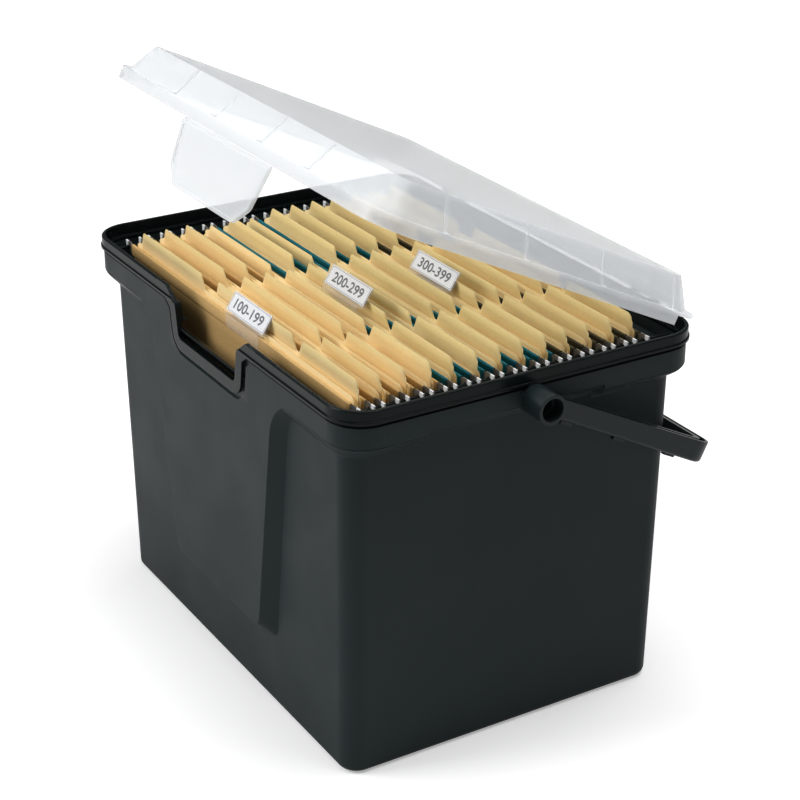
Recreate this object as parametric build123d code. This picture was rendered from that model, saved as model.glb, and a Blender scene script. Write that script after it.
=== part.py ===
from build123d import *
import math
import os

# Portable file box for letter-size hanging folders: moulded tub, hinged clear lid with a front flap,
# swing-over carry handle, and a full load of hanging folders with manila folders and label tabs.
# Millimetres. Origin at the centre of the tub's flat base, +Z up, the notched front faces -Y.

# ---- driving dimensions ---------------------------------------------------------------------------
TUB_H = 252.0                      # base to rim
LIP_W, LIP_D, LIP_R = 352.0, 249.0, 23.0
BASE_W, BASE_D, WALL_R = 315.0, 230.0, 13.0
WALL_W, WALL_D = 324.0, 232.0      # outside of the drafted wall where the shoulder starts
WALL_T = 2.3
BASE_FILLET = 5.0
FIT = 0.04                         # the wall is set in by this much where the cove takes over

LIP_BAND = 8.2                     # height of the band under the rim
BEAD_H, BEAD_OUT = 1.7, 0.8        # bead along the band's lower edge, where the lid lands
GROOVE_H, GROOVE_DEEP = 2.4, 2.2   # groove that the band stands over
SHOULDER_IN = 1.0                  # shoulder band, set in from the lip
SHOULDER_LOW, COVE_LOW = 231.0, 220.0
CORNER_DROP = 3.0                  # the shoulder hangs this much lower at the corners, front and back
SIDE_RISE = (-70.0, 52.0)          # Y range where the shoulder's lower edge is raised on both sides
RIM_T, RIM_INNER_T = 2.4, 4.6      # rim wall at the top, and behind the groove

NOTCH_BOTTOM, NOTCH_HALF = 221.0, 39.4
NOTCH_TOP_HALF, NOTCH_KNEE = 55.5, (42.8, 242.8)
NOTCH_BAND, NOTCH_GROOVE = 8.0, 3.6

PANEL_LOW, PANEL_HALF_LOW, PANEL_HALF_HIGH = 58.0, 60.0, 81.8
PANEL_FLARE = (33.0, 28.0)         # run and rise of the curve that carries the panel into the shoulder
PANEL_SLOPE = 11.0                 # width of the sloping step round the raised front panel

RAIL_X, RAIL_T, RAIL_TOP, RAIL_LOW = 154.9, 2.2, 243.5, 216.0
RAIL_WEB_Z, GUSSET_LOW, GUSSET_TOP = 221.0, 223.0, 236.0

PIVOT_Z = 235.0                    # handle axis, along X
STUB_R, STUB_BORE_R, STUB_END = 7.2, 5.2, 187.5
HUB_R, HUB_CLEAR, HUB_IN, HUB_END = 9.4, 0.06, 177.6, 196.0
ARM_IN, ARM_OUT = 179.5, 187.5
ARM_UP, ARM_DOWN_HUB, ARM_DOWN_GRIP = 6.5, 5.6, 7.6   # arm's face above and below its middle line
HANDLE_IN, HANDLE_OUT = 134.0, 145.2
HANDLE_REST = 27.0                 # degrees below the horizontal, grip against the back wall
SKIN = 2.0
ARM_EDGE = 2.4                     # round of the handle's outer lower edge
FINGER_R, FINGER_DEEP, FINGER_PITCH = 17.6, 3.0, 24.0   # hollows under the grip

HINGE_Y, HINGE_Z, HINGE_X = 128.6, 254.0, 112.0
HINGE_PIN_R, HINGE_CLEAR, BARREL_R = 1.9, 0.06, 3.3
HINGE_GAP = 3.5                    # from the hinge line to the lid's back edge
LID_REST = 26.0                    # degrees open at rest
LID_T = 1.6
LID_OVER = 1.0                     # gap between the lid's skirt band and the lip
LID_BAND_LOW, LID_SHELF, LID_TOP = 246.5, 254.6, 274.0
LID_STEP, LID_LEAN = 5.0, 11.0     # flat flange, then the slope's run up to the top

FLAP_TOP_W, FLAP_LOW_W, FLAP_H, FLAP_T = 114.0, 98.0, 40.0, 1.8

ROWS, ROW_PITCH, FIRST_ROW_Y = 13, 16.0, -101.0
FOLDER_W, FOLDER_TOP, FOLDER_LOW = 298.0, 246.0, 6.0
LEAF_T, LEAF_Y, HEM_H, HEM_T = 0.6, 3.7, 9.0, 2.6
ROD_LEN, ROD_H, ROD_T, ROD_HOOK = 319.0, 6.0, 0.9, 1.2   # hook: rise of the rod over the rail
ROD_LEG = 4.2                      # height of the hook's outer leg
MANILA_W, MANILA_BODY_TOP, MANILA_TAB_TOP, MANILA_T = 295.0, 248.0, 257.5, 0.5
TAB_ROUND, TAB_CUTS, TAB_SLOPE = 5.0, 3, 3.5
TABS = ((-138.0, -46.0), (79.0, 147.0), (-32.0, 70.0))   # left, right and centre tab, X from and to
LABEL_W, LABEL_H, LABEL_T, LABEL_LEAN = 51.0, 14.5, 1.3, 34.0
# row, X centre, Y of the foot from the row's middle, and height of the foot, of each label tab
LABELS = ((0, 18.0, -5.7, 247.6), (4, 25.0, -4.0, 254.6), (8, 24.0, -4.0, 251.6))

os.makedirs("parts", exist_ok=True)


# ---- small helpers --------------------------------------------------------------------------------
def plate(width, depth, radius, z):
    """Rounded rectangle lying at height z."""
    return Pos(0, 0, z) * RectangleRounded(width, depth, radius)


def slab(width, depth, radius, low, high):
    """Straight-sided rounded block from low to high."""
    return extrude(plate(width, depth, radius, low), high - low)


def box(x0, x1, y0, y1, z0, z1):
    """Box between two corners."""
    middle = Pos((x0 + x1) / 2, (y0 + y1) / 2, (z0 + z1) / 2)
    return middle * Box(x1 - x0, y1 - y0, z1 - z0)


def rod_x(radius, x0, x1, y, z):
    """Round bar along X."""
    return Pos((x0 + x1) / 2, y, z) * (Rot(0, 90, 0) * Cylinder(radius, x1 - x0))


def front_prism(face, y0, y1):
    """Carry an XZ-plane outline through the front wall from y0 to y1."""
    turned = Plane(origin=(0, y0, 0), x_dir=(1, 0, 0), z_dir=(0, -1, 0)) * face
    return extrude(turned, y0 - y1)


def side_prism(face, half):
    """Carry a YZ-plane outline from -half to half along X."""
    turned = Plane(origin=(-half, 0, 0), x_dir=(0, 1, 0), z_dir=(1, 0, 0)) * face
    return extrude(turned, 2 * half)


def wall_size(z, inset):
    """Width and depth of the drafted wall at height z, set in by inset."""
    share = z / COVE_LOW
    width = BASE_W + (WALL_W - BASE_W) * share
    depth = BASE_D + (WALL_D - BASE_D) * share
    return width - 2 * inset, depth - 2 * inset


def drafted_block(inset, low, high):
    """Block of the drafted wall between two heights, with rounded upright corners."""
    outlines = []
    for at_low, at_high in zip(wall_size(low, inset), wall_size(high, inset)):
        points = [(-at_low / 2, low), (at_low / 2, low), (at_high / 2, high), (-at_high / 2, high)]
        outlines.append(make_face(Polyline(points, close=True)))
    front, side = outlines
    block = front_prism(front, 200, -200) & side_prism(side, 250)
    upright = block.edges().filter_by(lambda edge: abs((edge @ 1 - edge @ 0).Z) > 50)
    return fillet(upright, WALL_R - inset * 0.6)


def cove(inset, low, high, steps=4):
    """Hollow quarter-round that carries the wall out to the shoulder."""
    sections = []
    for i in range(steps + 1):
        angle = math.radians(90 * i / steps)
        out = 1 - math.cos(angle)
        width = WALL_W + (LIP_W - 2 * SHOULDER_IN - WALL_W) * out - 2 * inset
        depth = WALL_D + (LIP_D - 2 * SHOULDER_IN - WALL_D) * out - 2 * inset
        radius = WALL_R + (LIP_R - SHOULDER_IN - WALL_R) * out - inset * 0.6
        sections.append(plate(width, depth, radius, low + (high - low) * math.sin(angle)))
    return loft(sections, ruled=True)


# ---- tub ------------------------------------------------------------------------------------------
def notch_outline(grow):
    """Open region of the front notch, grown outwards by grow, in the XZ plane."""
    knee_x, knee_z = NOTCH_KNEE
    rise = 14.0
    run = rise * (NOTCH_TOP_HALF - knee_x) / (TUB_H - knee_z)
    points = [(NOTCH_TOP_HALF + run, TUB_H + rise), (knee_x, knee_z), (NOTCH_HALF, NOTCH_BOTTOM)]
    points += [(-x, z) for x, z in reversed(points)]
    face = make_face(Polyline(points, close=True))
    face = fillet(face.vertices().filter_by(lambda v: v.Y < NOTCH_BOTTOM + 1), 4.0)
    face = fillet(face.vertices().filter_by(lambda v: abs(v.Y - knee_z) < 0.01), 5.0)
    return offset(face, grow) if grow else face


def panel_outline(grow):
    """Raised front panel: narrow foot, straight sides, flaring out into the shoulder."""
    low = PANEL_LOW - grow * 0.7
    foot = PANEL_HALF_LOW + grow
    side = PANEL_HALF_HIGH + grow
    run, rise = PANEL_FLARE
    top = SHOULDER_LOW
    right = Line((foot, low + 9), (side, top - rise))
    bend = RadiusArc(right @ 1, (side + run, top), 33.5)
    left = mirror(right, Plane.YZ)
    left_bend = mirror(bend, Plane.YZ)
    corner = Spline([(foot, low + 9), (foot - 9, low)], tangents=[(-0.15, -1), (-1, 0)])
    left_corner = mirror(corner, Plane.YZ)
    foot_line = Line((foot - 9, low), (9 - foot, low))
    top_line = Line((side + run, top), (-side - run, top))
    return make_face([right, bend, top_line, left_bend, left, left_corner, foot_line, corner])


def front_panel(inset):
    """Solid of the raised front panel, or of the pocket behind it when set in."""
    face_y = -(LIP_D / 2 - SHOULDER_IN) + inset
    wall_y = -(BASE_D / 2) + 1.0 + inset * 1.2
    outer = Plane(origin=(0, face_y, 0), x_dir=(1, 0, 0), z_dir=(0, -1, 0)) * panel_outline(-inset)
    foot = Plane(origin=(0, wall_y, 0), x_dir=(1, 0, 0), z_dir=(0, -1, 0))
    return loft([outer, foot * panel_outline(PANEL_SLOPE - inset)], ruled=True)


def tub_outside():
    """Outer form: wall, cove, shoulder, groove and lip."""
    shoulder = (LIP_W - 2 * SHOULDER_IN, LIP_D - 2 * SHOULDER_IN, LIP_R - SHOULDER_IN)
    groove = (LIP_W - 2 * GROOVE_DEEP, LIP_D - 2 * GROOVE_DEEP, LIP_R - GROOVE_DEEP)
    groove_top = TUB_H - LIP_BAND
    body = drafted_block(FIT, 0, COVE_LOW + 1.5)
    body = fillet(body.faces().sort_by(Axis.Z)[0].edges(), BASE_FILLET)
    body += cove(0, COVE_LOW, SHOULDER_LOW)
    body += slab(*shoulder, SHOULDER_LOW, groove_top - GROOVE_H)
    corners = cove(0.25, COVE_LOW - CORNER_DROP, SHOULDER_LOW - CORNER_DROP)
    corners += slab(*shoulder, SHOULDER_LOW - CORNER_DROP, SHOULDER_LOW)
    body += corners - box(-200, 200, *SIDE_RISE, 0, 300)
    body += slab(*groove, groove_top - GROOVE_H, groove_top)
    bead = (LIP_W + 2 * BEAD_OUT, LIP_D + 2 * BEAD_OUT, LIP_R + BEAD_OUT)
    body += slab(*bead, groove_top, groove_top + BEAD_H)
    lip = slab(LIP_W, LIP_D, LIP_R, groove_top, TUB_H)
    lip = chamfer(lip.faces().sort_by(Axis.Z)[-1].edges(), 0.6)
    return body + lip + front_panel(0)


def tub_inside():
    """Room inside the tub, with the pocket behind the front panel."""
    room = drafted_block(WALL_T + FIT, WALL_T, COVE_LOW + 2.5)
    room += cove(WALL_T, COVE_LOW + 1.5, SHOULDER_LOW + 3)
    step = (LIP_W - 2 * RIM_INNER_T, LIP_D - 2 * RIM_INNER_T, LIP_R - RIM_INNER_T)
    room += slab(*step, SHOULDER_LOW + 3, TUB_H + 1)
    rim = (LIP_W - 2 * RIM_T, LIP_D - 2 * RIM_T, LIP_R - RIM_T)
    room += slab(*rim, TUB_H - LIP_BAND, TUB_H + 1)
    return room + front_panel(WALL_T)


def file_rails():
    """Upright rails on both sides that the folder hooks hang over, with their webs and gussets."""
    reach = WALL_D / 2 - WALL_T + 0.5
    deep = LIP_W / 2 - 2
    pieces = []
    for side in (-1, 1):
        x0, x1 = sorted((side * (RAIL_X - RAIL_T / 2), side * (RAIL_X + RAIL_T / 2)))
        rail = box(x0, x1, -reach, reach, RAIL_LOW, RAIL_TOP)
        pieces.append(fillet(rail.edges().filter_by(Axis.Y).group_by(Axis.Z)[-1], 0.8))
        w0, w1 = sorted((side * RAIL_X, side * deep))
        pieces.append(box(w0, w1, -reach, reach, RAIL_WEB_Z, RAIL_WEB_Z + 2.4))
        for i in range(7):
            y = -105 + 35 * i
            pieces.append(box(w0, w1, y - 0.8, y + 0.8, GUSSET_LOW, GUSSET_TOP))
    rails = pieces[0]
    for piece in pieces[1:]:
        rails += piece
    return rails


def pivot_stubs():
    """Hollow stubs on the shoulder that the handle hubs turn on."""
    wall = LIP_W / 2 - RIM_INNER_T
    stubs = []
    for side in (-1, 1):
        x0, x1 = sorted((side * wall, side * STUB_END))
        b0, b1 = sorted((side * (wall + 3), side * (STUB_END + 1)))
        stub = rod_x(STUB_R, x0, x1, 0, PIVOT_Z)
        stub += rod_x(HUB_R, *sorted((side * wall, side * (HUB_IN - 0.4))), 0, PIVOT_Z)
        stubs.append(stub - rod_x(STUB_BORE_R, b0, b1, 0, PIVOT_Z))
    return stubs


def hinge_ears():
    """Two ears and a moulded pin for each lid hinge, on the back of the rim."""
    lip_y = LIP_D / 2
    parts = []
    for centre in (-HINGE_X, HINGE_X):
        for edge in (-11.5, 8.5):
            x0 = centre + edge
            low = TUB_H - LIP_BAND
            ear = box(x0, x0 + 3, lip_y - 1.5, HINGE_Y + BARREL_R - 0.2, low, TUB_H - 0.4)
            ear += box(x0, x0 + 3, HINGE_Y - 2.4, HINGE_Y + BARREL_R - 0.2, low, HINGE_Z)
            ear += rod_x(BARREL_R - 0.2, x0, x0 + 3, HINGE_Y, HINGE_Z)
            parts.append(ear)
        parts.append(rod_x(HINGE_PIN_R, centre - 10, centre + 10, HINGE_Y, HINGE_Z))
    return parts


def tub():
    """Tub with its notched, grooved rim."""
    front = -LIP_D / 2
    groove_top = TUB_H - LIP_BAND
    outside = tub_outside()
    under_lip = front_prism(Pos(0, groove_top - 50) * Rectangle(400, 100), 0, -200)
    under_rim = front_prism(Pos(0, TUB_H - 100) * Rectangle(400, 200), 0, -200)
    shell = outside - (front_prism(notch_outline(NOTCH_BAND + NOTCH_GROOVE), front - 2, front + GROOVE_DEEP)
                       & under_lip)
    shell += front_prism(notch_outline(NOTCH_BAND), front, front + 6) & under_rim
    shell -= tub_inside()
    shell -= front_prism(notch_outline(0), front - 2, front + 30)
    shell += file_rails() & outside
    for piece in pivot_stubs() + hinge_ears():
        shell += piece
    return shell


# ---- lid and flap ---------------------------------------------------------------------------------
def lid_shell(inset):
    """Solid of the lid's outer form, or of its hollow when set in by the wall."""
    half_w = LIP_W / 2 + LID_OVER + LID_T - inset
    front = -(LIP_D / 2 + LID_OVER + LID_T - inset)
    back = HINGE_Y - HINGE_GAP - inset
    middle = (front + back) / 2
    corner = LIP_R + LID_OVER + LID_T - inset

    def section(step, z):
        width = 2 * (half_w - step)
        depth = back - front - 2 * step
        return Pos(0, middle, z) * RectangleRounded(width, depth, max(corner - step, 6))

    low = section(0, LID_BAND_LOW - (1 if inset else 0))
    shelf = LID_SHELF - inset
    body = extrude(low, shelf - LID_BAND_LOW + (1 if inset else 0))
    slope = math.degrees(math.atan2(LID_LEAN, LID_TOP - LID_SHELF))
    body += extrude(section(LID_STEP, shelf - 0.01), LID_TOP - inset - shelf + 0.01, taper=slope)
    return body


def lid_ribs():
    """Low upright ribs on the sloping sides, that stiffen the lid."""
    outer = lid_shell(-0.7)
    inner = lid_shell(0.4)
    ribs = []
    for x in (-88, -30, 30, 88):
        ribs.append(box(x - 0.8, x + 0.8, -126.5, 124.6, LID_SHELF, LID_TOP - 1.2))
    for y in (-82, -22, 38, 98):
        ribs.append(box(-178, 178, y - 0.8, y + 0.8, LID_SHELF, LID_TOP - 1.2))
    cage = ribs[0]
    for rib in ribs[1:]:
        cage += rib
    return (cage & outer) - inner


def lid_closed():
    """Lid in its shut place: band, flange, sloping sides, flat top and hinge barrels."""
    back = HINGE_Y - HINGE_GAP
    lid = lid_shell(0) - lid_shell(LID_T)
    lid -= box(-200, 200, back - 26, back + 5, LID_BAND_LOW - 2, TUB_H + 0.5)
    lid += lid_ribs()
    for centre in (-HINGE_X, HINGE_X):
        arm = box(centre - 8, centre + 8, back - 1.5, HINGE_Y, HINGE_Z - 0.8, HINGE_Z + 2.6)
        barrel = arm + rod_x(BARREL_R, centre - 8, centre + 8, HINGE_Y, HINGE_Z)
        lid += barrel
    for centre in (-HINGE_X, HINGE_X):
        lid -= rod_x(HINGE_PIN_R + HINGE_CLEAR, centre - 9, centre + 9, HINGE_Y, HINGE_Z)
    return lid


def flap_axis():
    """Y and Z of the flap's hinge line with the lid shut."""
    return -(LIP_D / 2 + LID_OVER + LID_T / 2), LID_BAND_LOW - 1.1


def flap_closed():
    """Front flap in its shut place, over the notch: plate, raised border and hinge bead."""
    y, z = flap_axis()
    points = [
        (-FLAP_TOP_W / 2, z - 1.0),
        (FLAP_TOP_W / 2, z - 1.0),
        (FLAP_LOW_W / 2 + 3, z - FLAP_H + 12),
        (FLAP_LOW_W / 2 - 9, z - FLAP_H),
        (9 - FLAP_LOW_W / 2, z - FLAP_H),
        (-FLAP_LOW_W / 2 - 3, z - FLAP_H + 12),
    ]
    face = make_face(Polyline(points, close=True))
    face = fillet(face.vertices().filter_by(lambda v: v.Y < z - 5), 7.0)
    inner = y + FLAP_T / 2
    plate_solid = front_prism(face, inner - FLAP_T, inner)
    border = front_prism(offset(face, -2.2), inner - FLAP_T - 0.1, inner - FLAP_T + 1.0)
    border = front_prism(face, inner - FLAP_T - 1.0, inner - FLAP_T) - (Pos(0, -1.1, 0) * border)
    bead = rod_x(0.8, -FLAP_TOP_W / 2, FLAP_TOP_W / 2, y, z)
    web = box(-FLAP_TOP_W / 2, FLAP_TOP_W / 2, y - 0.5, y + 0.5, z - 1.4, z)
    return plate_solid + border + bead + web


def open_lid(shape):
    """Swing a lid piece from shut to its rest angle about the hinge line."""
    hinge = Pos(0, HINGE_Y, HINGE_Z)
    return hinge * (Rot(-LID_REST, 0, 0) * (hinge.inverse() * shape))


# ---- handle ---------------------------------------------------------------------------------------
def handle_side(skin):
    """Side form of the handle, a little deeper towards the grip, or of its channel when set in."""
    top = HANDLE_OUT + 5
    face = make_face(Polyline([
        (-ARM_UP - (1 if skin else 0), -HUB_R),
        (ARM_DOWN_HUB - skin, -HUB_R),
        (ARM_DOWN_GRIP - skin, top),
        (-ARM_UP - (1 if skin else 0), top),
    ], close=True))
    return side_prism(face, ARM_OUT + 5)


def handle_frame(skin):
    """Upright U of the handle, or its channel when set in by the skin."""
    low = HUB_R + 1.5 if skin else 4.0
    top = HANDLE_OUT - skin
    under = HANDLE_IN + (skin + FINGER_DEEP if skin else 0)
    outline = Rectangle(2 * (ARM_OUT - skin), top - low, align=(Align.CENTER, Align.MIN))
    outline = fillet(outline.vertices().filter_by(lambda v: v.Y > 50), 16 - skin)
    gap = Rectangle(2 * (ARM_IN + skin), under - low + 1, align=(Align.CENTER, Align.MIN))
    gap = fillet(gap.vertices().filter_by(lambda v: v.Y > 50), 7 + skin)
    face = Pos(0, low) * outline - Pos(0, low - 1) * gap
    return front_prism(face, -20, 20) & handle_side(skin)


def handle_ribs(solid):
    """Cross ribs in the channel, standing a little below its open edge, within the solid handle."""
    top = -ARM_UP + 2.5
    ribs = []
    for z in (30, 66, 102):
        ribs.append(box(-ARM_OUT, ARM_OUT, top, 20, z - 0.8, z + 0.8))
    for i in range(-5, 6):
        x = 30 * i
        ribs.append(box(x - 0.8, x + 0.8, top, 20, HANDLE_IN, HANDLE_OUT))
    web = ribs[0]
    for rib in ribs[1:]:
        web += rib
    return web & solid


def handle_upright():
    """Handle standing up over its axis at the origin, its channel open to the front."""
    solid = handle_frame(0)

    def on_outer_edge(edge):
        middle = edge.center()
        at_side = abs(middle.X) > ARM_OUT - 6
        at_grip = middle.Z > HANDLE_OUT - 1
        return middle.Y > ARM_DOWN_HUB - 0.3 and (at_side or at_grip)

    solid = fillet(solid.edges().filter_by(on_outer_edge), ARM_EDGE)
    frame = solid - handle_frame(SKIN) + handle_ribs(solid)
    for i in range(-3, 4):
        middle = Pos(FINGER_PITCH * i, 0, HANDLE_IN + FINGER_DEEP - FINGER_R)
        frame -= middle * (Rot(90, 0, 0) * Cylinder(FINGER_R, 60))
    for side in (-1, 1):
        frame += rod_x(HUB_R, *sorted((side * HUB_IN, side * HUB_END)), 0, 0)
        for z in (26, 70, 114):
            x0, x1 = sorted((side * ARM_IN, side * (ARM_IN + 3)))
            frame += box(x0, x1, ARM_DOWN_HUB - 1, ARM_DOWN_GRIP + 1.4, z - 4.5, z + 4.5)
    for side in (-1, 1):
        frame -= rod_x(STUB_R + HUB_CLEAR, *sorted((side * (HUB_IN - 1), side * (HUB_END + 1))), 0, 0)
    return frame


def handle():
    """Handle at rest, swung back so that its grip lies behind the tub."""
    return Pos(0, 0, PIVOT_Z) * (Rot(-90 - HANDLE_REST, 0, 0) * handle_upright())


# ---- folders --------------------------------------------------------------------------------------
def row_y(row):
    """Y of a row's middle."""
    return FIRST_ROW_Y + ROW_PITCH * row


def folded_outline(half, low, high):
    """Upright strip in the YZ plane whose foot is creased along four score lines."""
    score = 2.0
    return make_face(Polyline([
        (-half, high), (-half, low + score), (-half * 0.45, low),
        (half * 0.45, low), (half, low + score), (half, high),
    ], close=True))


def hanging_folder(row):
    """One folded sheet with a hem round each rod."""
    turn = LEAF_Y + LEAF_T / 2
    sheet = folded_outline(turn, FOLDER_LOW, FOLDER_TOP) - folded_outline(turn - LEAF_T, FOLDER_LOW + LEAF_T,
                                                                          FOLDER_TOP + 5)
    for side in (-1, 1):
        y = side * (turn - LEAF_T + HEM_T / 2)
        hem = Pos(y, FOLDER_TOP - HEM_H / 2) * Rectangle(HEM_T, HEM_H)
        slot = Pos(y, FOLDER_TOP - 1.0 - ROD_H / 2) * Rectangle(ROD_T + 0.3, ROD_H + 0.3)
        sheet += hem
        sheet -= slot
    return Pos(0, row_y(row), 0) * side_prism(sheet, FOLDER_W / 2)


def rods(row):
    """The two flat rods of one hanging folder, with hooked ends over the rails."""
    turn = LEAF_Y + LEAF_T / 2
    top = FOLDER_TOP - 1.0
    half = ROD_LEN / 2
    notch_in = RAIL_X - RAIL_T / 2 - 1.2
    notch_out = RAIL_X + RAIL_T / 2 + 0.8
    rise = FOLDER_W / 2 + 2.4
    seat = RAIL_TOP + 0.05
    points = [
        (-half, top - ROD_LEG), (-half, top + ROD_HOOK), (-rise, top + ROD_HOOK),
        (-rise + 1.4, top), (rise - 1.4, top), (rise, top + ROD_HOOK), (half, top + ROD_HOOK),
        (half, top - ROD_LEG), (notch_out, top - ROD_LEG), (notch_out, seat),
        (notch_in, seat), (notch_in, top - ROD_H), (-notch_in, top - ROD_H), (-notch_in, seat),
        (-notch_out, seat), (-notch_out, top - ROD_LEG),
    ]
    face = make_face(Polyline(points, close=True))
    pair = []
    for side in (-1, 1):
        y = row_y(row) + side * (turn - LEAF_T + HEM_T / 2)
        pair.append(front_prism(face, y - ROD_T / 2, y + ROD_T / 2))
    return pair


def tab_edge(x):
    """Outer edge of a tab that ends at x: up from the leaf and round the corner in short straight cuts."""
    root = MANILA_BODY_TOP - 0.5
    foot = min(x + TAB_SLOPE, MANILA_W / 2)
    sweep = math.atan2(MANILA_TAB_TOP - root, foot - x)
    middle = x - TAB_ROUND * math.tan(sweep / 2)
    points = [(foot, root)]
    for i in range(TAB_CUTS + 1):
        turn = sweep * (1 - i / TAB_CUTS)
        rise = TAB_ROUND * (1 - math.cos(turn))
        points.append((middle + TAB_ROUND * math.sin(turn), MANILA_TAB_TOP - rise))
    return points


def manila_tab(tab, y):
    """Cut tab on the back leaf of a manila folder."""
    right = tab_edge(tab[1])
    left = [(-x, z) for x, z in reversed(tab_edge(-tab[0]))]
    return front_prism(make_face(Polyline(right + left, close=True)), y + MANILA_T / 2, y - MANILA_T / 2)


def manila_set(row):
    """Three manila folders in one hanging folder, with tabs to the left, right and centre."""
    folders = []
    low = FOLDER_LOW + 2.4
    for place, tab in enumerate(TABS):
        y = row_y(row) - 1.9 + 1.9 * place
        back, front = y + 0.75, y - 0.75
        fold = make_face(Polyline([
            (back, MANILA_BODY_TOP), (back - MANILA_T, MANILA_BODY_TOP), (back - MANILA_T, low + 0.6),
            (front + MANILA_T, low + 0.6), (front + MANILA_T, MANILA_BODY_TOP - 3),
            (front, MANILA_BODY_TOP - 3), (front, low), (back, low),
        ], close=True))
        folders.append(side_prism(fold, MANILA_W / 2) + manila_tab(tab, back - MANILA_T / 2))
    return folders


def label_place(row, x, foot_y, foot_z):
    """Frame at the foot of a label tab, leaning back."""
    return Pos(x, row_y(row) + foot_y, foot_z) * Rot(-LABEL_LEAN, 0, 0)


def label_tab(row, x, foot_y, foot_z):
    """Clear label holder: a leaning sleeve on a clip in front of the hanging folder's hem."""
    clip_y = row_y(row) - LEAF_Y - HEM_T + 0.3 - 0.35
    clip = box(x - 22, x + 22, clip_y - 0.7, clip_y, FOLDER_TOP - 7, foot_z + 0.6)
    clip += box(x - 22, x + 22, clip_y - 0.7, row_y(row) + foot_y + 0.5, foot_z - 0.6, foot_z + 0.6)
    lean = label_place(row, x, foot_y, foot_z)
    sleeve = lean * (Pos(0, 0, LABEL_H / 2) * Box(LABEL_W, LABEL_T, LABEL_H))
    slot = lean * (Pos(0, 0, LABEL_H / 2 + 1) * Box(LABEL_W - 2, 0.5, LABEL_H))
    return (sleeve + clip) - slot


def label_insert(row, x, foot_y, foot_z):
    """Paper strip inside the label holder."""
    lean = label_place(row, x, foot_y, foot_z)
    return lean * (Pos(0, 0, LABEL_H / 2 + 0.5) * Box(LABEL_W - 3, 0.3, LABEL_H - 2.0))


# ---- write every piece ----------------------------------------------------------------------------
def save(name, shape):
    """One STEP file per named piece; a list becomes a group of separate solids."""
    if isinstance(shape, list):
        shape = Compound(children=shape)
    export_step(shape, f"parts/{name}.step")


save("tub", tub())
save("lid", open_lid(lid_closed()))
save("lid_flap", open_lid(flap_closed()))
save("handle", handle())
for number in range(ROWS):
    save(f"hanging_folder_{number + 1:02d}", hanging_folder(number))
    save(f"folder_rods_{number + 1:02d}", rods(number))
    save(f"manila_folders_{number + 1:02d}", manila_set(number))
for number, place in enumerate(LABELS):
    save(f"label_tab_{number + 1}", label_tab(*place))
    save(f"label_insert_{number + 1}", label_insert(*place))
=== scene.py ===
"""Portable file box: finishes, card and paper pieces, labels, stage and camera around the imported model."""
import math

import bpy
import numpy as np
from bpy.props import FloatProperty, FloatVectorProperty, IntProperty, PointerProperty
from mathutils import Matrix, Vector


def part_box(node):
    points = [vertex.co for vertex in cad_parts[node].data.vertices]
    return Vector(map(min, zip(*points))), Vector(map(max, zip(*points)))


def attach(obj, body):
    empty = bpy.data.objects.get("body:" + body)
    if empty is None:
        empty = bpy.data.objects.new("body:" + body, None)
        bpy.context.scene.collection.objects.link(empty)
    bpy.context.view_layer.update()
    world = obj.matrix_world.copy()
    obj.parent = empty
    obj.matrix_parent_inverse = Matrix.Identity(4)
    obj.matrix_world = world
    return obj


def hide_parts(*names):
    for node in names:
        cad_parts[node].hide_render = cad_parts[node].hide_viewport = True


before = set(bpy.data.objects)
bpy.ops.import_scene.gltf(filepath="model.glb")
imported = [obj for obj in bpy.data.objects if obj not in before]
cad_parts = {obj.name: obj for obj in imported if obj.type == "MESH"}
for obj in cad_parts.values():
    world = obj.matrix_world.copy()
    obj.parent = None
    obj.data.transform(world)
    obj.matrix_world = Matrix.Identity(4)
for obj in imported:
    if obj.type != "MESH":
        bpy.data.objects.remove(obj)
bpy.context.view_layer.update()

bl_info = {
    "name": "Portable File Box",
    "version": (1, 0, 0),
    "blender": (4, 5, 0),
    "location": "View3D > Sidebar > File Box",
    "description": "Dresses the packed file box with its plastics, card, paper and labels",
    "category": "Object",
}

ROWS = 13
ROW_PITCH = 0.016
FIRST_ROW = -0.101                      # Y of the first row's middle
TAN_ROWS, TEAL_ROWS = 4, 9              # last row of the tan and of the teal hanging folders
LABEL_ROWS = (1, 5, 9)                  # rows whose folder carries a label
SUNKEN = {4: (3.5, 0, 1.0), 6: (3.8, 0.5, 3.0)}   # by row: how far its left, right and centre tab sit low
LABEL_TEXT = ("100-199", "200-299", "300-399")
LABEL_LEAN = math.radians(34)
MM = 0.001
TABS = ((-138 * MM, -46 * MM), (79 * MM, 147 * MM), (-32 * MM, 70 * MM))   # X of left, right, centre tab
MANILA_PITCH = 1.9 * MM                 # between the manila folders of one row
MANILA_HALF, MANILA_LOW, MANILA_TOP = 147.5 * MM, 9.2 * MM, 248 * MM   # half width, fold and body top
HOOK_TIP = 156 * MM                     # X past which a rod's hook is dipped in white plastic
LIP_LOW = 241.3 * MM                    # Z above which the tub is smoother and painted darker, a painted shade
NOTCH_BORDER = (53.5 * MM, 212.2 * MM, -119 * MM)   # half width, foot and face of the notch's border, smoother and painted darker like the lip
WALL_HALF, WALL_ROUND = (161.6, 115.7), 13          # mm, the wall's half sizes where the shoulder ends
SHOULDER_OUT, SHOULDER_ROUND = (13.35, 7.75), 9     # mm, how much further out the shoulder's edge is
SHOULDER_EDGE, SHOULDER_FALL = 228.4, 12.6          # mm, Z of that edge and drop from it to the wall
SHOULDER_RISE = 3                                   # mm, how far the edge is raised on both sides


def linear(code):
    """sRGB hex colour as linear RGBA."""
    value = np.array([int(code[i:i + 2], 16) for i in (0, 2, 4)]) / 255
    value = np.where(value <= 0.04045, value / 12.92, ((value + 0.055) / 1.055) ** 2.4)
    return (*value.tolist(), 1.0)


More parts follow.
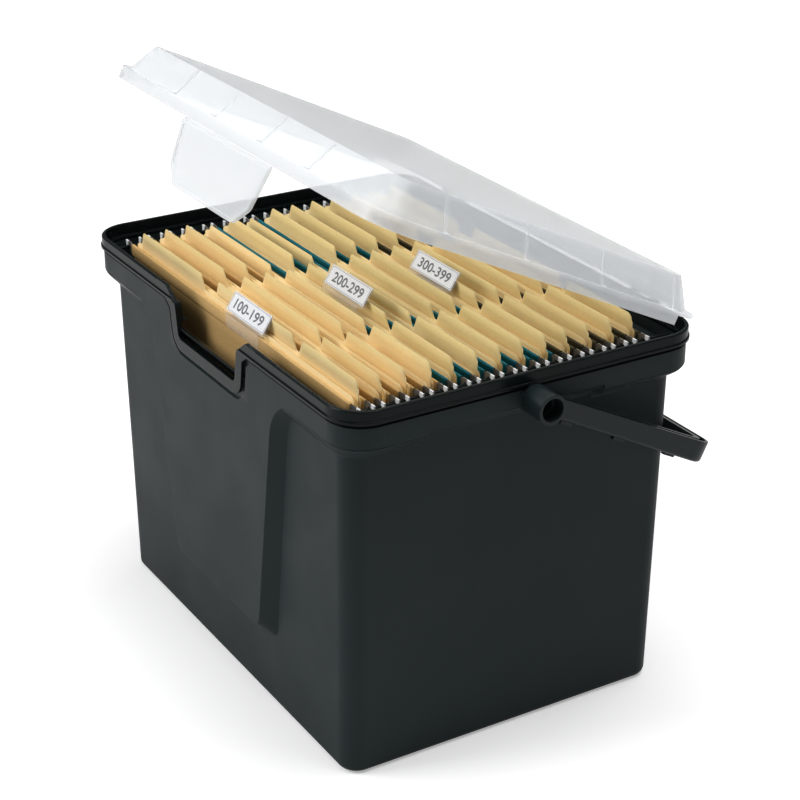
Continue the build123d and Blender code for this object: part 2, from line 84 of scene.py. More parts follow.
# ---- sizes and colours a user would change ---------------------------------------------------------
def colour(name, code, description):
    """One colour setting."""
    return FloatVectorProperty(name=name, description=description, subtype="COLOR", size=4,
                               min=0, max=1, default=linear(code))


class FileBoxSizes(bpy.types.PropertyGroup):
    """Sizes of the card, paper and surface texture."""
    card_thickness: FloatProperty(
        name="Folder card", description="Thickness of the hanging folders' card",
        default=0.45 * MM, min=0.2 * MM, max=0.6 * MM, unit="LENGTH", subtype="DISTANCE")
    manila_thickness: FloatProperty(
        name="Manila stock", description="Thickness of the manila folders' card",
        default=0.4 * MM, min=0.2 * MM, max=0.5 * MM, unit="LENGTH", subtype="DISTANCE")
    tab_height: FloatProperty(
        name="Tab height", description="How far a tab stands above its folder's back leaf",
        default=9.5 * MM, min=5 * MM, max=12 * MM, unit="LENGTH", subtype="DISTANCE")
    warp: FloatProperty(
        name="Warp", description="How far the free top of a manila leaf strays from flat",
        default=1.1 * MM, min=0, max=2 * MM, unit="LENGTH", subtype="DISTANCE")
    grain: FloatProperty(
        name="Mould grain", description="Spacing of the spark-eroded grain on the tub and handle",
        default=0.7 * MM, min=0.1 * MM, max=3 * MM, unit="LENGTH", subtype="DISTANCE")
    edge_round: FloatProperty(
        name="Moulded edge", description="Radius that the moulded plastic's edges seem to have",
        default=0.9 * MM, min=0, max=3 * MM, unit="LENGTH", subtype="DISTANCE")
    seed: IntProperty(
        name="Paper seed", description="Chooses how the loose leaves lean and bow", default=11, min=0)


class FileBoxColours(bpy.types.PropertyGroup):
    """Colours of the finishes."""
    tub: colour("Tub", "242C2D", "Black polypropylene of the tub's grained wall")
    # lip: the same black plastic painted darker, a painted shade for the dark surroundings its smooth face
    # mirrors
    lip: colour("Lip", "0D1415", "Black polypropylene of the tub's polished lip")
    handle: colour("Handle", "1B2324", "Black polypropylene of the handle")
    lid: colour("Lid", "E4E8EC", "Milky cast of the clear lid")
    tan: colour("Tan folder", "C9A46A", "Natural kraft hanging folders")
    teal: colour("Teal folder", "0E6470", "Dyed hanging folders")
    # olive: the card's own hue, set darker as painted shade for the shadow over the back rows
    olive: colour("Olive folder", "4A4430", "Dyed hanging folders")
    manila: colour("Manila", "F8DCA2", "Front rows of manila folders")
    # top band of every manila leaf: painted light, the greyer colour the paper's top shows in direct light
    manila_lit_top: colour("Top_lit manila", "E6CE8F", "Back rows of manila folders")
    rod: colour("Hook tips", "EDEFF1", "White plastic on the tips of the rods' hooks")
    # rods: the steel's grey painted darker, a painted shade for the shadow inside the box
    steel: colour("Rods", "5B5852", "Shade_darkened steel of the rods")
    paper: colour("Label paper", "F4F4F6", "Paper strip in the labels")
    ink: colour("Label ink", "1E2026", "Printed border and numbers")
    floor: colour("Floor", "F3F3F3", "Matt studio floor")


# ---- nodes and materials ---------------------------------------------------------------------------
def add(tree, kind, settings=None, links=None):
    """Adds one shader node. Settings name a property or an input; links give (node, output) by input."""
    made = tree.nodes.new("ShaderNode" + kind)
    for key, value in (settings or {}).items():
        if key == "stops":
            ramp = made.color_ramp.elements
            while len(ramp) < len(value):
                ramp.new(0.5)
            for element, (position, shade) in zip(ramp, value):
                element.position = position
                element.color = shade
        elif isinstance(key, str) and key.islower():
            setattr(made, key, value)
        else:
            made.inputs[key].default_value = value
    for key, (source, output) in (links or {}).items():
        tree.links.new(source.outputs[output], made.inputs[key])
    return made


def material(name, **settings):
    """New material with a Principled shader; settings name its inputs. Returns material, tree, shader."""
    made = bpy.data.materials.new(name)
    made.use_nodes = True
    shader = made.node_tree.nodes["Principled BSDF"]
    for key, value in settings.items():
        shader.inputs[key.replace("_", " ")].default_value = value
    return made, made.node_tree, shader


def tinted(shade, factor):
    """The same colour, lighter or darker."""
    return (*(min(1, channel * factor) for channel in shade[:3]), 1.0)


def rim_mask(tree, place):
    """Node that is 1 on the tub's lip and round its notch, which are smoother and painted darker, and 0 on
    the grained wall.
    """
    split = add(tree, "SeparateXYZ", None, {"Vector": (place, "Object")})
    half, foot, face = NOTCH_BORDER
    lip = add(tree, "MapRange", {"From Min": LIP_LOW - 0.5 * MM, "From Max": LIP_LOW + 0.5 * MM},
              {"Value": (split, "Z")})
    side = add(tree, "Math", {"operation": "ABSOLUTE"}, {0: (split, "X")})
    near = add(tree, "MapRange", {"From Min": half + 2.5 * MM, "From Max": half - 2.5 * MM},
               {"Value": (side, 0)})
    above = add(tree, "MapRange", {"From Min": foot - 0.7 * MM, "From Max": foot + 0.8 * MM},
                {"Value": (split, "Z")})
    front = add(tree, "MapRange", {"From Min": face + 1 * MM, "From Max": face - 1 * MM},
                {"Value": (split, "Y")})
    band = add(tree, "Math", {"operation": "MULTIPLY"}, {0: (near, "Result"), 1: (above, "Result")})
    band = add(tree, "Math", {"operation": "MULTIPLY"}, {0: (band, 0), 1: (front, "Result")})
    return add(tree, "Math", {"operation": "MAXIMUM"}, {0: (lip, "Result"), 1: (band, 0)})


def moulded_plastic(name, shade, rough, level, grain, edge, polish_and_painted_dark=None):
    """Injection-moulded polypropylene from a spark-eroded mould: a satin black with a fine grain that
    breaks up the highlight, soft moulded edges, and faint paler bloom where the melt flowed. Where a
    second shade is given, the lip and the notch's border are smoother and take that darker shade, a painted
    shade for the dark surroundings their gloss mirrors."""
    made, tree, shader = material(name, IOR=1.49, Specular_IOR_Level=level)
    place = add(tree, "TexCoord")
    flow = add(tree, "TexNoise", {"Scale": 9.0, "Detail": 3.0, "Roughness": 0.5},
               {"Vector": (place, "Object")})
    tone = add(tree, "Mix", {"data_type": "RGBA", 6: tinted(shade, 0.92), 7: tinted(shade, 1.1)},
               {0: (flow, "Fac")})
    rub = add(tree, "TexNoise", {"Scale": 26.0, "Detail": 4.0}, {"Vector": (place, "Object")})
    gloss = add(tree, "MapRange", {"From Min": 0.3, "From Max": 0.7, "To Min": rough - 0.05,
                                   "To Max": rough + 0.05}, {"Value": (rub, "Fac")})
    tone, gloss = (tone, 2), (gloss, "Result")
    if polish_and_painted_dark:
        mask = rim_mask(tree, place)
        # the lip and notch border take the darker colour, a painted shade for the dark surroundings their
        # gloss mirrors
        tone = (add(tree, "Mix", {"data_type": "RGBA", 7: polish_and_painted_dark}, {0: (mask, 0), 6: tone}), 2)
        gloss = (add(tree, "Mix", {3: 0.24}, {0: (mask, 0), 2: gloss}), 0)
        shine = add(tree, "Mix", {2: level, 3: 0.12}, {0: (mask, 0)})
        tree.links.new(shine.outputs[0], shader.inputs["Specular IOR Level"])
    tree.links.new(tone[0].outputs[tone[1]], shader.inputs["Base Color"])
    tree.links.new(gloss[0].outputs[gloss[1]], shader.inputs["Roughness"])
    pits = add(tree, "TexNoise", {"Scale": 1 / grain, "Detail": 1.0}, {"Vector": (place, "Object")})
    corner = add(tree, "Bevel", {"samples": 6, "Radius": edge})
    bump = add(tree, "Bump", {"Strength": 0.14, "Distance": 0.05 * MM},
               {"Height": (pits, "Fac"), "Normal": (corner, "Normal")})
    tree.links.new(bump.outputs["Normal"], shader.inputs["Normal"])
    return made


def milky_plastic(name, shade, veil, shade_cast):
    """Injection-moulded clear polypropylene: what lies behind stays sharp, under a white veil that the
    plastic's own crystals make. Light goes on through the wall, scattered, so the side turned away from
    the lamps stays pale and the cast shadow is faint. The gloss is soft and slightly rippled."""
    made, tree, shader = material(name, Base_Color=shade, Roughness=0.28, IOR=1.49,
                                  Subsurface_Weight=0.9, Subsurface_Scale=4 * MM)
    shader.inputs["Subsurface Radius"].default_value = (1.0, 1.0, 1.0)
    path = add(tree, "LightPath")
    cover = add(tree, "MapRange", {"To Min": veil, "To Max": shade_cast},
                {"Value": (path, "Is Shadow Ray")})
    tree.links.new(cover.outputs["Result"], shader.inputs["Alpha"])
    place = add(tree, "TexCoord")
    ripple = add(tree, "TexNoise", {"Scale": 60.0, "Detail": 2.0}, {"Vector": (place, "Object")})
    bump = add(tree, "Bump", {"Strength": 0.12, "Distance": 0.2 * MM}, {"Height": (ripple, "Fac")})
    tree.links.new(bump.outputs["Normal"], shader.inputs["Normal"])
    return made


def card_stock(name, shade, painted_top_light, top_at, top_run, rough, fleck):
    """Uncoated card pressed from pulp: matt, with fibres a millimetre or two long that lie across the
    sheet, small flecks, and a band of a second colour along the top of each leaf: painted light, the colour
    the top shows in direct light."""
    made, tree, shader = material(name, Roughness=rough, IOR=1.5, Specular_IOR_Level=0.25)
    place = add(tree, "TexCoord")
    split = add(tree, "SeparateXYZ", None, {"Vector": (place, "Object")})
    cloud = add(tree, "TexNoise", {"Scale": 35.0, "Detail": 3.0}, {"Vector": (place, "Object")})
    height = add(tree, "Math", {"operation": "MULTIPLY_ADD", 1: 8 * MM},
                 {0: (cloud, "Fac"), 2: (split, "Z")})
    # painted light: the top colour takes over in a band along the top of each leaf
    band = add(tree, "MapRange", {"interpolation_type": "SMOOTHSTEP", "From Min": top_at + 4 * MM - top_run,
                                  "From Max": top_at + 4 * MM + top_run}, {"Value": (height, 0)})
    body = add(tree, "Mix", {"data_type": "RGBA", 6: shade, 7: painted_top_light}, {0: (band, "Result")})
    stretch = add(tree, "Mapping", {"Scale": (0.3, 1.0, 1.0)}, {"Vector": (place, "Object")})
    fibre = add(tree, "TexNoise", {"Scale": 1 / (0.9 * MM), "Detail": 4.0, "Roughness": 0.65},
                {"Vector": (stretch, "Vector")})
    speck = add(tree, "MapRange", {"From Min": 0.3, "From Max": 0.75, "To Min": 1 - fleck,
                                   "To Max": 1 + fleck}, {"Value": (fibre, "Fac")})
    final = add(tree, "VectorMath", {"operation": "SCALE"}, {0: (body, 2), 3: (speck, "Result")})
    tree.links.new(final.outputs[0], shader.inputs["Base Color"])
    bump = add(tree, "Bump", {"Strength": 0.25, "Distance": 0.06 * MM}, {"Height": (fibre, "Fac")})
    tree.links.new(bump.outputs["Normal"], shader.inputs["Normal"])
    return made


def coated_steel(name, shade, bare):
    """Spring-steel strip with its hooks' tips dipped in white plastic: dark grey-brown along the strip,
    the steel's grey painted darker as painted shade, and white over the last few millimetres."""
    made, tree, shader = material(name, Roughness=0.35, IOR=1.5)
    place = add(tree, "TexCoord")
    split = add(tree, "SeparateXYZ", None, {"Vector": (place, "Object")})
    side = add(tree, "Math", {"operation": "ABSOLUTE"}, {0: (split, "X")})
    dipped = add(tree, "MapRange", {"From Min": HOOK_TIP - 0.4 * MM, "From Max": HOOK_TIP},
                 {"Value": (side, 0)})
    runs = add(tree, "TexNoise", {"Scale": 220.0, "Detail": 2.0}, {"Vector": (place, "Object")})
    # the strip's dark grey-brown: steel painted darker as painted shade
    steel = add(tree, "Mix", {"data_type": "RGBA", 6: tinted(bare, 0.7), 7: tinted(bare, 1.3)},
                {0: (runs, "Fac")})
    mix = add(tree, "Mix", {"data_type": "RGBA", 7: shade}, {0: (dipped, "Result"), 6: (steel, 2)})
    tree.links.new(mix.outputs[2], shader.inputs["Base Color"])
    bump = add(tree, "Bump", {"Strength": 0.1, "Distance": 0.1 * MM}, {"Height": (runs, "Fac")})
    tree.links.new(bump.outputs["Normal"], shader.inputs["Normal"])
    return made


def label_film(name):
    """Clear rigid PVC sheet: nearly invisible, with a hard gloss and a cool edge."""
    made, tree, shader = material(name, Base_Color=linear("E9EDF0"), IOR=1.53, Alpha=0.1)
    place = add(tree, "TexCoord")
    haze = add(tree, "TexNoise", {"Scale": 300.0, "Detail": 2.0}, {"Vector": (place, "Object")})
    vary = add(tree, "MapRange", {"To Min": 0.06, "To Max": 0.16}, {"Value": (haze, "Fac")})
    tree.links.new(vary.outputs["Result"], shader.inputs["Roughness"])
    return made


def label_paper(name, shade):
    """Smooth calendered paper: matt white with a faint pulp cloud."""
    made, tree, shader = material(name, Roughness=0.75, IOR=1.5, Specular_IOR_Level=0.2)
    place = add(tree, "TexCoord")
    cloud = add(tree, "TexNoise", {"Scale": 500.0, "Detail": 3.0}, {"Vector": (place, "Object")})
    mix = add(tree, "Mix", {"data_type": "RGBA", 6: tinted(shade, 0.96), 7: shade}, {0: (cloud, "Fac")})
    tree.links.new(mix.outputs[2], shader.inputs["Base Color"])
    return made


def printing_ink(name, shade):
    """Offset ink soaked into paper: matt, a little uneven."""
    made, tree, shader = material(name, Roughness=0.7, IOR=1.5)
    place = add(tree, "TexCoord")
    spots = add(tree, "TexNoise", {"Scale": 2500.0, "Detail": 2.0}, {"Vector": (place, "Object")})
    mix = add(tree, "Mix", {"data_type": "RGBA", 6: tinted(shade, 0.85), 7: tinted(shade, 1.2)},
              {0: (spots, "Fac")})
    tree.links.new(mix.outputs[2], shader.inputs["Base Color"])
    return made


# ---- surfaces --------------------------------------------------------------------------------------
def surface(name, grids, ring=False, tube=False):
    """One object from grids of points (rows x columns x 3). Each grid's neighbours become quads. A ring's
    last column joins its first, and a tube's last row its first."""
    points, quads, start = [], [], 0
    for grid in grids:
        rows, columns = grid.shape[:2]
        index = start + np.arange(rows * columns).reshape(rows, columns)
        index = np.hstack([index, index[:, :1]]) if ring else index
        index = np.vstack([index, index[:1]]) if tube else index
        quads.append(np.stack([index[:-1, :-1], index[:-1, 1:], index[1:, 1:], index[1:, :-1]],
                              axis=-1).reshape(-1, 4))
        points.append(grid.reshape(-1, 3))
        start += rows * columns
    mesh = bpy.data.meshes.new(name)
    mesh.from_pydata(np.concatenate(points).tolist(), [], np.concatenate(quads).tolist())
    mesh.shade_smooth()
    made = bpy.data.objects.new(name, mesh)
    bpy.context.scene.collection.objects.link(made)
    return made


def thicken(piece, thickness):
    """Gives a sheet its thickness, half on each side."""
    solid = piece.modifiers.new("Thickness", "SOLIDIFY")
    solid.thickness = thickness
    solid.offset = 0
    solid.use_even_offset = True


def finish_node(name, finish):
    """Puts a finish on a CAD node."""
    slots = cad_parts[name].material_slots
    if not slots:
        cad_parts[name].data.materials.append(finish)
    for place in slots:
        place.material = finish


def row_names():
    """Row number, its Y and its two-digit name, front to back."""
    return [(i + 1, FIRST_ROW + ROW_PITCH * i, f"{i + 1:02d}") for i in range(ROWS)]


def shoulder_ring():
    """Closed grid of the swept underside of the tub's shoulder. It is a profile carried round a rounded
    rectangle. The outer side of the profile falls from the shoulder's edge to the wall while it moves in
    by an S-curve of its depth, 3 u^2 - 2 u^3. Its hidden side is a hollow quarter-round, a little inside
    the tub's own wall. Along the middle of both sides the profile is raised with the shoulder's edge."""
    depth = np.linspace(0, 1, 11)
    swept = (1 - (3 - 2 * depth) * depth ** 2, SHOULDER_EDGE - SHOULDER_FALL * depth)
    turn = np.linspace(0, math.pi / 2, 8)
    hollow = (1 - np.cos(turn) - 0.05, 216.4 + 11 * np.sin(turn))
    out = np.concatenate([swept[0], hollow[0]])[:, None]
    height = np.concatenate([swept[1], hollow[1]])[:, None]
    angle = np.concatenate([np.linspace(k, k + 1, 13) * math.pi / 2 for k in range(4)])
    half_x, half_y = WALL_HALF[0] + SHOULDER_OUT[0] * out, WALL_HALF[1] + SHOULDER_OUT[1] * out
    radius = WALL_ROUND + SHOULDER_ROUND * out
    corner_x = np.repeat([1, -1, -1, 1], 13) * (half_x - radius)
    corner_y = np.repeat([1, 1, -1, -1], 13) * (half_y - radius)
    x, y = corner_x + radius * np.cos(angle), corner_y + radius * np.sin(angle)
    z = height + 0 * x
    # the straight right side, after the last corner, and the left one, after the second, get points at
    # the ends of the raised stretch
    steps = np.array([-70.5, -69.5, 51.5, 52.5])
    raised = SHOULDER_RISE * np.array([0, 1, 1, 0])
    whole = []
    for part in range(4):
        columns = slice(13 * part, 13 * part + 13)
        whole.append(np.stack([x[:, columns], y[:, columns], z[:, columns]], axis=-1))
        if part in (1, 3):
            order = slice(None) if part == 3 else slice(None, None, -1)
            side_x = np.repeat(x[:, columns.stop - 1:columns.stop], 4, axis=1)
            side_y = np.broadcast_to(steps[order], side_x.shape)
            whole.append(np.stack([side_x, side_y, height + raised[order]], axis=-1))
    return np.concatenate(whole, axis=1)[::-1] * MM


def tab_height(x, start, stop, half, height):
    """Height of a tab over x: nought outside it, full between its ends, joined by an S-curve whose slope
    starts and ends at nought; an end that meets the folder's side is a quarter round instead."""
    run, corner = 7.5 * MM, 5 * MM

    def end(distance, at_side):
        s = np.clip(distance / run + 0.5, 0, 1)
        soft = s ** 3 * (s * (6 * s - 15) + 10)
        r = np.clip(1 - distance / corner, 0, 1)
        return np.sqrt(1 - r * r) * corner / height + 1 - corner / height if at_side else soft

    return height * end(x - start, start < 5 * MM - half) * end(stop - x, stop > half - 5 * MM)


def manila_folder(y, tab, sink, settings, random):
    """Grid of one manila folder: a sheet carried round its fold, from the front leaf's top to the back
    leaf's tab. Across: X. Along: front leaf down, a half-round fold, back leaf up. Each leaf's Y is the
    folder's own, plus half its spread, plus a bow of half a sine wave across X, plus a lean that grows
    with the square of the height above the hems. A sunken folder's top is lower by its sink."""
    half, low, body = MANILA_HALF, MANILA_LOW, MANILA_TOP - sink
    hem = 228 * MM
    ends = [x + d * MM for x in tab for d in np.linspace(-6, 6, 17)]
    sides = [s * (half - d * MM) for s in (-1, 1) for d in (0, 0.3, 0.8, 1.5, 2.5, 3.8, 5)]
    x = np.concatenate([np.linspace(-half, half, 41), ends, sides])
    x = np.unique(np.clip(x, -half, half).round(6))
    side_drop = np.clip(1 - (half - np.abs(x)) / (4 * MM), 0, 1) ** 2 * 2.5 * MM
    back_top = body + tab_height(x, *tab, half, settings.tab_height)
    back_top -= np.where(back_top - body < 1e-5, side_drop, 0)
    front_top = body - 3 * MM - side_drop
    rise = np.concatenate([np.linspace(0, 0.8, 7), np.linspace(0.84, 1, 8)])
    lean, bow, spread, twist = random.uniform(-1, 1, 4)
    front_lean = lean + random.uniform(-0.9, 0.1)
    phase = random.uniform(-0.6, 0.6)

    def leaf(top, side, tilt):
        z = low + rise[:, None] * (top - low)
        above = np.clip((z - hem) / (258 * MM - hem), 0, 1.05) ** 2
        wave = np.sin(math.pi * (x / (2 * half) + 0.5) * (1.5 + 0.5 * twist) + phase)
        gap = 0.45 * MM + 0.25 * MM * np.clip((z - low) / (240 * MM), 0, 1) * (1 + spread)
        offset = side * gap + above * settings.warp * (tilt + 0.55 * bow * wave)
        return np.stack([np.broadcast_to(x, z.shape), y + offset, z], axis=-1)

    front = leaf(front_top, -1, front_lean)[::-1]
    back = leaf(back_top, 1, lean)
    turn = np.linspace(math.pi, 2 * math.pi, 5)[1:-1, None]
    fold_y = y + 0.45 * MM * np.cos(turn) + 0 * x
    fold_z = low + 0.45 * MM * np.sin(turn) + 0 * x
    fold = np.stack([np.broadcast_to(x, fold_y.shape), fold_y, fold_z], axis=-1)
    return np.concatenate([front, fold, back])


def hanging_folder(y, random):
    """Grid of one hanging folder: a profile in Y and Z carried along X. The profile runs up inside the
    front hem, over the front rod, down the front leaf, round the bottom, and the same way up the back.
    Each leaf swells between hem and fold by half a sine wave of its height and one of X."""
    x = np.linspace(-149, 149, 45) * MM
    turn = np.linspace(0, math.pi, 9)
    hem_y, hem_z, hem_r = 4.75, 245.2, 0.8
    over_y = hem_y + hem_r * np.cos(turn)
    over_z = hem_z + 0.55 * np.sin(turn)
    half_y = np.concatenate([[4.9, 5.45, 5.55], over_y, [3.95, 3.95, 3.9], np.full(12, 3.85)])
    half_z = np.concatenate([[237.3, 238.4, 241.5], over_z, [241.5, 238.5, 236.5],
                             np.linspace(230, 12, 12)])
    round_y = 3.85 * np.sin(np.linspace(math.pi / 2, 0, 6)[1:])
    round_z = 10.2 - 3.85 * np.cos(np.linspace(math.pi / 2, 0, 6)[1:])
    side_y = np.concatenate([half_y, round_y])
    side_z = np.concatenate([half_z, round_z])
    profile_y = np.concatenate([-side_y, side_y[::-1][1:]]) * MM
    profile_z = np.concatenate([side_z, side_z[::-1][1:]]) * MM
    swell = np.clip((profile_z - 12 * MM) / (223 * MM), 0, 1)
    swell = np.sin(math.pi * swell)[:, None] * np.cos(math.pi * x / (298 * MM))
    swell = swell * np.sign(profile_y)[:, None]
    ripple = 0.12 * MM * np.sin(x * 41 + random.uniform(0, 6))[None, :] * (profile_z > 236 * MM)[:, None]
    grid_y = y + profile_y[:, None] + swell * 0.9 * MM + ripple
    return np.stack([np.broadcast_to(x, grid_y.shape), grid_y,
                     np.broadcast_to(profile_z[:, None], grid_y.shape)], axis=-1)


def on_label(place, x, y, z):
    """Points of a leaning label, from across, out and up in its own frame."""
    foot = Vector(place)
    ly, lz = np.asarray(y, float), np.asarray(z, float)
    turned_y = ly * math.cos(LABEL_LEAN) + lz * math.sin(LABEL_LEAN)
    turned_z = lz * math.cos(LABEL_LEAN) - ly * math.sin(LABEL_LEAN)
    return np.stack(np.broadcast_arrays(foot.x + x, foot.y + turned_y, foot.z + turned_z), axis=-1)


def label_border(place, half_w, low, high, width, out):
    """Grid of a printed border: two rounded rectangles, one inside the other, joined by quads. A point of
    a rounded rectangle is its corner's centre plus the radius turned through a quarter."""
    corner = 1.2 * MM
    turn = np.linspace(0, math.pi / 2, 5)
    angle = np.concatenate([turn + k * math.pi / 2 for k in range(4)])
    signs_x = np.repeat([1, -1, -1, 1], 5)
    signs_z = np.repeat([1, 1, -1, -1], 5)
    middle, tall = (low + high) / 2, (high - low) / 2
    rings = []
    for inset in (0, width):
        radius = corner - inset * 0.5
        x = signs_x * (half_w - inset - radius) + radius * np.cos(angle)
        z = middle + signs_z * (tall - inset - radius) + radius * np.sin(angle)
        rings.append(on_label(place, x, out, z))
    return np.stack(rings)


def printed_number(name, text, place, width, height, middle, out):
    """Flat number, made a mesh and set on the leaning label."""
    font = bpy.data.curves.new(name + "_text", "FONT")
    font.body = text
    font.align_x = "CENTER"
    font.align_y = "CENTER"
    font.resolution_u = 3
    font.offset = 0.02
    source = bpy.data.objects.new(name + "_text", font)
    bpy.context.scene.collection.objects.link(source)
    bpy.context.view_layer.update()
    mesh = bpy.data.meshes.new_from_object(source.evaluated_get(bpy.context.evaluated_depsgraph_get()))
    bpy.data.objects.remove(source)
    flat = np.zeros(len(mesh.vertices) * 3)
    mesh.vertices.foreach_get("co", flat)
    flat = flat.reshape(-1, 3)
    low, high = flat.min(0), flat.max(0)
    x = (flat[:, 0] - (low[0] + high[0]) / 2) / (high[0] - low[0]) * width
    z = (flat[:, 1] - (low[1] + high[1]) / 2) / (high[1] - low[1]) * height + middle
    mesh.vertices.foreach_set("co", on_label(place, x, out, z).ravel())
    mesh.update()
    mesh.name = name
    made = bpy.data.objects.new(name, mesh)
    bpy.context.scene.collection.objects.link(made)
    return made


# ---- operators -------------------------------------------------------------------------------------
class FILEBOX_OT_tub(bpy.types.Operator):
    """Finish the tub and the handle in satin black"""
    bl_idname = "filebox.tub"
    bl_label = "Tub and handle"

    def execute(self, context):
        sizes, colours = context.scene.file_box_sizes, context.scene.file_box_colours
        # colours.lip is the painted darker shade of the lip and notch border
        satin = moulded_plastic("satin_black_polypropylene", colours.tub, 0.44, 0.1, sizes.grain,
                                sizes.edge_round, colours.lip)
        finish_node("tub", satin)
        shoulder = surface("tub_shoulder_sweep", [shoulder_ring()], ring=True, tube=True)
        shoulder.data.materials.append(satin)
        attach(shoulder, "tub")
        finish_node("handle", moulded_plastic("handle_black_polypropylene", colours.handle, 0.32, 0.2,
                                              sizes.grain, sizes.edge_round * 0.6))
        return {"FINISHED"}


class FILEBOX_OT_lid(bpy.types.Operator):
    """Finish the lid and its flap in clear, slightly milky plastic"""
    bl_idname = "filebox.lid"
    bl_label = "Lid and flap"

    def execute(self, context):
        clear = milky_plastic("milky_clear_polypropylene", context.scene.file_box_colours.lid, 0.56, 0.15)
        finish_node("lid", clear)
        finish_node("lid_flap", clear)
        return {"FINISHED"}


class FILEBOX_OT_hanging_folders(bpy.types.Operator):
    """Build the hanging folders' card and coat their rods"""
    bl_idname = "filebox.hanging_folders"
    bl_label = "Hanging folders"

    def execute(self, context):
        sizes, colours = context.scene.file_box_sizes, context.scene.file_box_colours
        random = np.random.default_rng(sizes.seed)
        cards = {}
        # the hanging leaves' top band is 8 per cent lighter: painted light on their top edge
        for slot, shade in (("folder_tan", colours.tan), ("folder_teal", colours.teal),
                            ("folder_olive", colours.olive)):
            cards[slot] = card_stock(slot.replace("folder", "pressed_card"), shade, tinted(shade, 1.08),
                                     244 * MM, 3 * MM, 0.7, 0.12)
        coating = coated_steel("white_dipped_steel", colours.rod, colours.steel)
        for number, y, row in row_names():
            slot = ("folder_tan" if number <= TAN_ROWS else
                    "folder_teal" if number <= TEAL_ROWS else "folder_olive")
            piece = surface(f"hanging_card_{row}", [hanging_folder(y, random)])
            thicken(piece, sizes.card_thickness)
            piece.data.materials.append(cards[slot])
            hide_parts(f"hanging_folder_{row}")
            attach(piece, f"folder_{row}")
            finish_node(f"folder_rods_{row}", coating)
        return {"FINISHED"}


class FILEBOX_OT_manila_folders(bpy.types.Operator):
    """Build three tabbed manila folders in every hanging folder"""
    bl_idname = "filebox.manila_folders"
    bl_label = "Manila folders"

    def execute(self, context):
        sizes, colours = context.scene.file_box_sizes, context.scene.file_box_colours
        random = np.random.default_rng(sizes.seed + 1)
        # both stocks carry the painted top light; on the back rows it starts lower and their body is a
        # little darker
        stock = {
            "manila_warm": card_stock("manila_card_front_rows", colours.manila, colours.manila_lit_top,
                                      253 * MM, 7 * MM, 0.62, 0.05),
            "manila_khaki": card_stock("manila_card_back_rows", tinted(colours.manila, 0.93), colours.manila_lit_top,
                                       249 * MM, 7 * MM, 0.62, 0.05),
        }
        for number, y, row in row_names():
            slot = "manila_warm" if number <= TAN_ROWS else "manila_khaki"
            sinks = SUNKEN.get(number, (0, 0, 0))
            grids = [manila_folder(y + (place - 1) * MANILA_PITCH, tab, sinks[place] * MM, sizes, random)
                     for place, tab in enumerate(TABS)]
            piece = surface(f"manila_cards_{row}", grids)
            thicken(piece, sizes.manila_thickness)
            piece.data.materials.append(stock[slot])
            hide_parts(f"manila_folders_{row}")
            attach(piece, f"folder_{row}")
        return {"FINISHED"}


class FILEBOX_OT_labels(bpy.types.Operator):
    """Finish the label holders and print a border and plain numbers on their paper"""
    bl_idname = "filebox.labels"
    bl_label = "Labels"

    def execute(self, context):
        colours = context.scene.file_box_colours
        film = label_film("clear_label_pvc")
        paper = label_paper("label_paper", colours.paper)
        ink = printing_ink("label_ink", colours.ink)
        grey = printing_ink("label_border_ink", tinted(colours.ink, 22))
        for k, row in enumerate(LABEL_ROWS):
            low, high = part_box(f"label_insert_{k + 1}")
            body = f"folder_{row:02d}"
            finish_node(f"label_tab_{k + 1}", film)
            finish_node(f"label_insert_{k + 1}", paper)
            # foot of the label's own frame, back from the lowest and most forward corner of its paper
            lift, out = 1.5 * MM, 0.15 * MM
            foot = ((low.x + high.x) / 2,
                    low.y + out * math.cos(LABEL_LEAN) - lift * math.sin(LABEL_LEAN),
                    low.z - lift * math.cos(LABEL_LEAN) + out * math.sin(LABEL_LEAN))
            border = surface(f"label_border_{k + 1}",
                             [label_border(foot, 23.5 * MM, 2.0 * MM, 13.5 * MM, 0.4 * MM, -0.19 * MM)],
                             ring=True)
            border.data.materials.append(grey)
            number = printed_number(f"label_number_{k + 1}", LABEL_TEXT[k], foot, 37 * MM, 6.8 * MM,
                                    7.75 * MM, -0.19 * MM)
            number.data.materials.append(ink)
            for piece in (border, number):
                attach(piece, body)
        return {"FINISHED"}


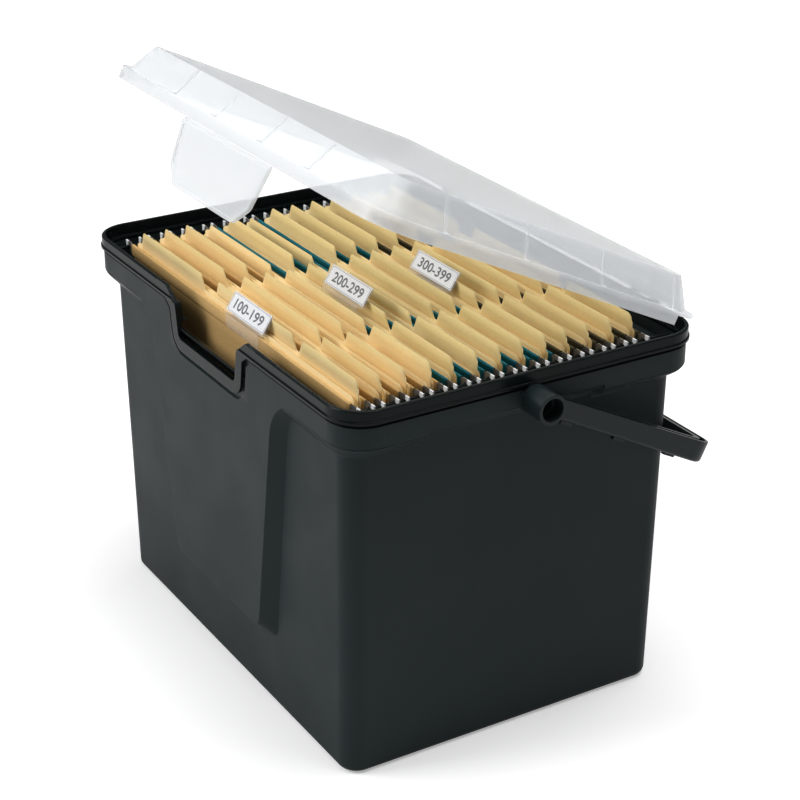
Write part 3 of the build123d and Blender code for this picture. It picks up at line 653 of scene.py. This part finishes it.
class FILEBOX_OT_stage(bpy.types.Operator):
    """Set the floor, the lamps and the camera"""
    bl_idname = "filebox.stage"
    bl_label = "Stage"

    def execute(self, context):
        scene = context.scene
        floor_finish, tree, shader = material("matt_floor_paint", Roughness=0.9, Specular_IOR_Level=0.1,
                                              Base_Color=scene.file_box_colours.floor)
        # lifts the floor to white for what sees it, more so where the lamps don't reach it, and
        # leaves the light on the object alone
        path = add(tree, "LightPath")
        seen = add(tree, "Math", {"operation": "MAXIMUM"},
                   {0: (path, "Is Camera Ray"), 1: (path, "Is Transmission Ray")})
        point = add(tree, "NewGeometry")
        away = add(tree, "VectorMath", {"operation": "LENGTH"}, {0: (point, "Position")})
        level = add(tree, "MapRange", {"From Min": 0.7, "From Max": 3.5, "To Min": 0.33, "To Max": 1.0},
                    {"Value": (away, "Value")})
        lift = add(tree, "Math", {"operation": "MULTIPLY"}, {0: (seen, 0), 1: (level, "Result")})
        shader.inputs["Emission Color"].default_value = (1, 1, 1, 1)
        tree.links.new(lift.outputs[0], shader.inputs["Emission Strength"])
        corner = np.array([-6.0, 6.0])
        x, y = np.meshgrid(corner, corner)
        floor = surface("studio_floor", [np.stack([x, y, np.full(x.shape, -0.2 * MM)], axis=-1)])
        floor.data.materials.append(floor_finish)

        world = bpy.data.worlds.new("studio_air")
        world.use_nodes = True
        back = world.node_tree.nodes["Background"]
        back.inputs["Color"].default_value = (1, 1, 1, 1)
        path = add(world.node_tree, "LightPath")
        level = add(world.node_tree, "MapRange", {"To Min": 0.17, "To Max": 1.0},
                    {"Value": (path, "Is Camera Ray")})
        world.node_tree.links.new(level.outputs["Result"], back.inputs["Strength"])
        scene.world = world

        middle = Vector((0, 0, 0.14))
        for name, place, size, power in (("key_softbox", (-0.9, -1.9, 1.7), 1.4, 42.0),
                                         ("top_softbox", (0.3, 0.45, 2.35), 1.6, 43.0)):
            lamp = bpy.data.lights.new(name, "AREA")
            lamp.size = size
            lamp.energy = power
            made = bpy.data.objects.new(name, lamp)
            made.location = place
            made.rotation_euler = (middle - Vector(place)).to_track_quat("-Z", "Y").to_euler()
            scene.collection.objects.link(made)

        scene.view_settings.view_transform = "Standard"
        target = Vector((25.0, 0.9, 173.3)) * MM
        distance, azimuth, elevation = 1.29, math.radians(-30.98), math.radians(24.92)
        back_way = Vector((math.cos(azimuth) * math.cos(elevation),
                           math.sin(azimuth) * math.cos(elevation), math.sin(elevation)))
        lens = bpy.data.cameras.new("camera")
        lens.lens = 89.33
        lens.sensor_width = 36
        lens.clip_start = 0.05
        camera = bpy.data.objects.new("camera", lens)
        camera.location = target + back_way * distance
        camera.rotation_euler = (-back_way).to_track_quat("-Z", "Y").to_euler()
        scene.collection.objects.link(camera)
        scene.camera = camera
        return {"FINISHED"}


class FILEBOX_PT_panel(bpy.types.Panel):
    """Sizes, colours and steps of the file box"""
    bl_idname = "FILEBOX_PT_panel"
    bl_label = "File Box"
    bl_space_type = "VIEW_3D"
    bl_region_type = "UI"
    bl_category = "File Box"

    def draw(self, context):
        layout = self.layout
        for group in (context.scene.file_box_sizes, context.scene.file_box_colours):
            column = layout.column(align=True)
            for name in group.__annotations__:
                column.prop(group, name)
        for step in STEPS:
            layout.operator(step.bl_idname)


STEPS = (FILEBOX_OT_tub, FILEBOX_OT_lid, FILEBOX_OT_hanging_folders, FILEBOX_OT_manila_folders,
         FILEBOX_OT_labels, FILEBOX_OT_stage)
CLASSES = (FileBoxSizes, FileBoxColours, *STEPS, FILEBOX_PT_panel)


def register():
    for item in CLASSES:
        bpy.utils.register_class(item)
    bpy.types.Scene.file_box_sizes = PointerProperty(type=FileBoxSizes)
    bpy.types.Scene.file_box_colours = PointerProperty(type=FileBoxColours)


def unregister():
    del bpy.types.Scene.file_box_colours
    del bpy.types.Scene.file_box_sizes
    for item in reversed(CLASSES):
        bpy.utils.unregister_class(item)


def main():
    """Registers the add-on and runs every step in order."""
    register()
    for step in STEPS:
        getattr(bpy.ops.filebox, step.bl_idname.split(".")[1])()


if __name__ == "__main__":
    main()
